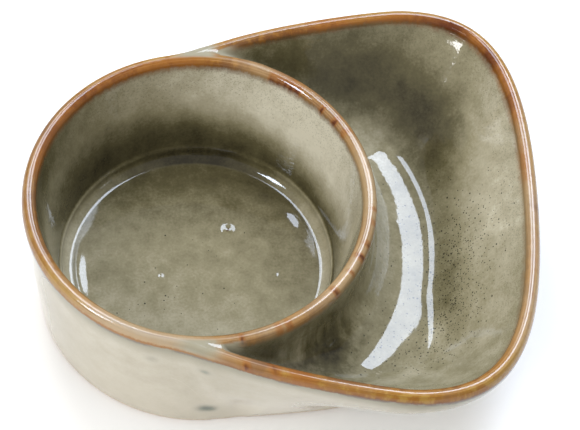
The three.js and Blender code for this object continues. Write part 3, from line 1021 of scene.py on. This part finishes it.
class Glaze(Shader):
    """The bowl's reactive glaze, with the fields that its layers share."""

    def __init__(self, name):
        super().__init__(name)
        self.way = self.note("crest_mm")
        self.inside = self.note("inside")
        self.mottle = self.noise(*MOTTLE)
        self.grain = self.noise(*GRAIN)
        self.drip = self.noise(*DRIP, self.stretch(*DRIP_STRETCH))
        self.drift = self.noise(*DRIFT)
        self.marked = self.waver(self.note("rust"), self.drip, 0.5)
        edge = self.waver(self.way, self.drip, self.between(self.inside, *EDGE_DRIP))
        edge = self.waver(edge, self.grain, EDGE_GRAIN)
        band = self.between(self.inside, RIM_BAND_OUTSIDE, RIM_BAND)
        self.share = self.math("DIVIDE", edge, band)

    def two_sets(self, dots, coarse_share, fine_share):
        coarse, fine = dots
        return self.math("MAXIMUM", self.dots(*coarse, coarse_share), self.dots(*fine, fine_share))


def olive_layer(s):
    """Inside of the bowl, from thick and dark to thin and pale, with painted light and shade in the same
    value.
    """
    streak = s.noise(*STREAK, s.stretch(*STREAK_STRETCH))
    tone_and_shade = s.waver(s.note("tone_and_shade"), s.mottle, 0.36)
    tone_and_shade = s.waver(tone_and_shade, s.grain, 0.20)
    tone_and_shade = s.waver(tone_and_shade, streak, s.between(s.note("streaks"), 0.14, 0.9))
    return s.ramp(tone_and_shade, OLIVE)


def shell_layer(s):
    """Pale outside of the bowl, paler low down, greyer under the rim, with painted shade on the left, painted
    light on the front flank, and a few stains.
    """
    cloud = s.waver(s.waver(0.55, s.mottle, 0.9), s.grain, 0.3)
    low = s.times(s.step(s.way, *LOW_WAYS), 0.3)
    near_rim = s.times(s.step(s.way, *NEAR_RIM_WAYS), 0.85)
    stained = s.times(s.note("stain"), s.step(s.mottle, 0.35, 0.6))
    shell = s.mix(low, s.ramp(cloud, SHELL), SHELL_LOW)
    shell = s.mix(s.note("shade"), shell, SHELL_PAINTED_SHADE)
    shell = s.mix(s.note("pale"), shell, SHELL_PAINTED_LIGHT)
    shell = s.mix(near_rim, shell, SHELL_NEAR_RIM)
    return s.mix(stained, shell, SHELL_STAIN)


def body_layer(s):
    """Inside and outside, with freckles under the rim, iron specks, and rust in the large bubble."""
    freckled = s.times(s.step(s.way, *FRECKLE_STARTS), s.step(s.way, *FRECKLE_ENDS), s.inside)
    freckles = s.times(s.two_sets(FRECKLE_DOTS, freckled, freckled), 0.3)
    iron = s.note("iron")
    specks = s.times(s.two_sets(IRON_DOTS, iron, s.times(iron, 0.8)), 0.9)
    rusted = s.times(s.step(s.marked, 0.3, 0.7), s.step(s.way, *BUBBLE_WAYS))
    body = s.mix(s.inside, shell_layer(s), olive_layer(s))
    body = s.mix(freckles, body, FRECKLE)
    body = s.mix(specks, body, IRON_SPECK)
    return s.mix(rusted, body, BUBBLE_RUST)


def amber_layer(s):
    """Brown of the rims, in two shades on either side of the crest, and mauve in places, which on the right
    rim's outer side is painted shade.
    """
    darker_inside = s.step(s.waver(s.drift, s.drip, 0.6), 0.42, 0.60)
    darker_outside = s.step(s.waver(s.drift, s.drip, 0.8), 0.40, 0.60)
    inside = s.mix(darker_inside, s.ramp(s.share, HONEY), s.ramp(s.share, TOFFEE))
    outside = s.mix(darker_outside, s.ramp(s.share, GOLDEN), s.ramp(s.share, DEEP))
    mauve = s.times(s.note("mauve"), 0.8)
    return s.mix(mauve, s.mix(s.inside, outside, inside), MAUVE_BROWN)


def brown_layer(s):
    """Amber and tan of the rims, with lines along the crest, rust and worn spots, and a pale crest line that
    is part thin glaze and part painted highlight.
    """
    tanned = s.waver(s.note("tan"), s.drift, 0.8, clamp=True)
    outside, inside = s.ramp(s.share, TAN_OF_OUTSIDE), s.ramp(s.share, TAN_OF_INSIDE)
    lines = s.noise(*CREST_LINES, s.alongside(s.way, CREST_LINES_ACROSS, CREST_LINES_ALONG))
    crested = s.times(s.step(s.way, *LINE_WAYS), 0.28)
    halo = s.times(s.step(s.marked, 0.0, 0.4), 0.6)
    rust = s.times(s.step(s.marked, 0.35, 0.9), 0.9)
    worn = s.times(s.step(s.drift, 0.60, 0.72), 0.35)
    # Pale crest line: partly thin glaze, partly a painted highlight
    top = s.times(s.step(s.way, *CREST_HIGHLIGHT_WAYS), 0.18)
    brown = s.mix(tanned, amber_layer(s), s.mix(s.inside, outside, inside))
    brown = s.mix(s.times(crested, s.step(lines, 0.46, 0.36)), brown, DARK_LINE)
    brown = s.mix(s.times(crested, s.step(lines, 0.54, 0.64)), brown, PALE_LINE)
    brown = s.mix(halo, brown, RUST_HALO)
    brown = s.mix(s.math("MAXIMUM", rust, worn), brown, RUST_CORE)
    return s.mix(top, brown, CREST_BREAK_AND_HIGHLIGHT)


def all_layers(s):
    """Colour of the glaze, and the share of it that is the rim's brown band."""
    under = s.times(s.step(s.share, 0.9, 1.04), s.step(s.share, 1.4, 1.08))
    mauve = s.times(under, s.step(s.noise(*PATCHY), 0.4, 0.6))
    mauve = s.times(mauve, s.between(s.inside, 0.7, 0.2))
    banded = s.between(s.inside, s.step(s.share, 1.12, 0.92), s.step(s.share, 1.4, 0.6))
    pooled = s.times(s.note("tip"), s.step(s.mottle, 0.2, 0.45))
    glazed = s.mix(mauve, body_layer(s), UNDERLINE)
    glazed = s.mix(banded, glazed, brown_layer(s))
    return s.mix(pooled, glazed, s.mix(s.mottle, CELADON_DARK, CELADON_PALE)), banded


def make_glaze(name):
    s = Glaze(name)
    glazed, banded = all_layers(s)
    bare = s.note("bare")
    clay = s.mix(s.step(s.grain, 0.3, 0.7), CLAY_DARK, CLAY_PALE)
    gloss = s.waver(GLAZE_ROUGHNESS, s.mottle, 0.04)
    bump = s.node("Bump", {
        "Strength": DIMPLE_STRENGTH, "Distance": DIMPLE_HEIGHT, "Height": s.noise(*DIMPLES)})
    return s.finish(s.node("BsdfPrincipled", {
        "Base Color": s.mix(bare, glazed, clay),
        "Roughness": s.math("ADD", gloss, s.times(bare, CLAY_ROUGHNESS)),
        "IOR": GLAZE_IOR,
        "Specular IOR Level": s.between(banded, GLAZE_SPECULAR, RIM_SPECULAR),
        "Normal": bump.outputs[0],
    }))


pieces = {
    "soup_cup": (soup_cup(), "cup_glaze"),
    "cracker_tray": (cracker_tray(), "tray_glaze"),
    "seam_coil": (seam_coil(), "tray_glaze"),
    "front_junction": (junction("front_junction", -1), "junction_glaze"),
    "rear_junction": (junction("rear_junction", 1), "junction_glaze"),
    "foot_ring": (foot_ring(), "foot_clay"),
}
glaze = make_glaze("reactive_glaze")
for node, (piece, slot) in pieces.items():
    piece.data.materials.append(glaze)
    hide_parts(node)
    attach(piece, "root")

# Floor, in metres
FLOOR_HALF = 4
FLOOR_SIDES = ((-1, -1), (1, -1), (1, 1), (-1, 1))
FLOOR_DEPTH = 0.0002
FLOOR_CLOUD = (8, 2, 0.5)
FLOOR_GREY = colour(243, 243, 243)
FLOOR_WHITE = colour(248, 248, 248)
FLOOR_ROUGHNESS = 0.9


def make_pale_floor(name):
    s = Shader(name)
    shade = s.mix(s.noise(*FLOOR_CLOUD), FLOOR_GREY, FLOOR_WHITE)
    return s.finish(s.node("BsdfPrincipled", {"Base Color": shade, "Roughness": FLOOR_ROUGHNESS}))


floor_corners = [(x * FLOOR_HALF, y * FLOOR_HALF, -FLOOR_DEPTH) for x, y in FLOOR_SIDES]
floor_mesh = bpy.data.meshes.new("floor")
floor_mesh.from_pydata(floor_corners, [], [(0, 1, 2, 3)])
floor_mesh.materials.append(make_pale_floor("pale_floor"))
floor = bpy.data.objects.new("floor", floor_mesh)
scene.collection.objects.link(floor)

# Light. A stand is azimuth from +X towards +Y, elevation, and metres from the bowl. Sizes are in metres.
WORLD_STRENGTH = 0.45
LIGHT_AIM = Vector((20, 0, 40)) * MM
WHITE = (1, 1, 1)
COOL = (0.87, 0.98, 1.17)
RIGHT = (64, 55.5, 1.1)
LEFT = (118, 57, 1.1)
RIGHT_SIZE = (0.36, 0.56)

scene.view_settings.view_transform = "Standard"
world = bpy.data.worlds.new("studio")
world.use_nodes = True
background = world.node_tree.nodes["Background"]
background.inputs["Color"].default_value = (*WHITE, 1)
background.inputs["Strength"].default_value = WORLD_STRENGTH
scene.world = world


def softbox(name, stand, size, watts, tint=WHITE, mirrored=True, lights=True):
    """Area light, aimed at the bowl. One that isn't mirrored leaves no glint, and one that doesn't light
    the bowl leaves nothing else."""
    azimuth, elevation, distance = stand
    a, e = math.radians(azimuth), math.radians(elevation)
    data = bpy.data.lights.new(name, "AREA")
    data.shape = "RECTANGLE"
    data.size, data.size_y = size
    data.energy = watts
    data.color = tint
    lamp = bpy.data.objects.new(name, data)
    off = Vector((math.cos(e) * math.cos(a), math.cos(e) * math.sin(a), math.sin(e))) * distance
    lamp.location = LIGHT_AIM + off
    lamp.rotation_euler = off.to_track_quat("Z", "Y").to_euler()
    lamp.visible_glossy = mirrored
    lamp.visible_diffuse = lights
    scene.collection.objects.link(lamp)
    return lamp


def shown_in(lamp, names):
    """Keeps a light to the pieces that are named."""
    receivers = bpy.data.collections.new(lamp.name + "_receivers")
    for name in names:
        receivers.objects.link(pieces[name][0])
    lamp.light_linking.receiver_collection = receivers


softbox("right_softbox", RIGHT, RIGHT_SIZE, watts=6.8, tint=COOL)
softbox("right_bounce", RIGHT, RIGHT_SIZE, watts=1.7, tint=COOL, mirrored=False)
left_softbox = softbox("left_softbox", LEFT, (0.36, 0.46), watts=4.8, tint=COOL, lights=False)
softbox("left_bounce", LEFT, (0.28, 0.46), watts=3.5, mirrored=False)
window = softbox("window", (220, 32.7, 1.5), (0.46, 0.05), watts=1.4, lights=False)
tall_window = softbox("tall_window", (205, 45, 1.5), (0.28, 0.55), watts=13.0, tint=COOL, lights=False)
softbox("overhead", (270, 86, 1.6), (1.3, 1.1), watts=8.0, mirrored=False)
softbox("fill", (223, 36, 1.5), (0.9, 0.9), watts=14.0, mirrored=False)
shown_in(left_softbox, [name for name in pieces if name != "seam_coil"])
shown_in(window, ["cracker_tray"])
shown_in(tall_window, ["soup_cup"])

# Camera, fitted to the rims and floors in the photograph
LENS = 224.4
SENSOR_WIDTH = 36
CAMERA_AT = Vector((-68.3, -735.9, 1150.5)) * MM
CAMERA_AIM = Vector((3.2, -6.8, 61.2)) * MM
CAMERA_ROLL = 5.20

camera_data = bpy.data.cameras.new("camera")
camera_data.sensor_width = SENSOR_WIDTH
camera_data.lens = LENS
camera = bpy.data.objects.new("camera", camera_data)
scene.collection.objects.link(camera)
back = (CAMERA_AT - CAMERA_AIM).normalized()
right = Vector((0, 0, 1)).cross(back).normalized()
up = back.cross(right)
roll = math.radians(CAMERA_ROLL)
rolled = right * math.cos(roll) + up * math.sin(roll)
upright = up * math.cos(roll) - right * math.sin(roll)
axes = Matrix((rolled, upright, back)).transposed().to_4x4()
camera.matrix_world = Matrix.Translation(CAMERA_AT) @ axes
scene.camera = camera
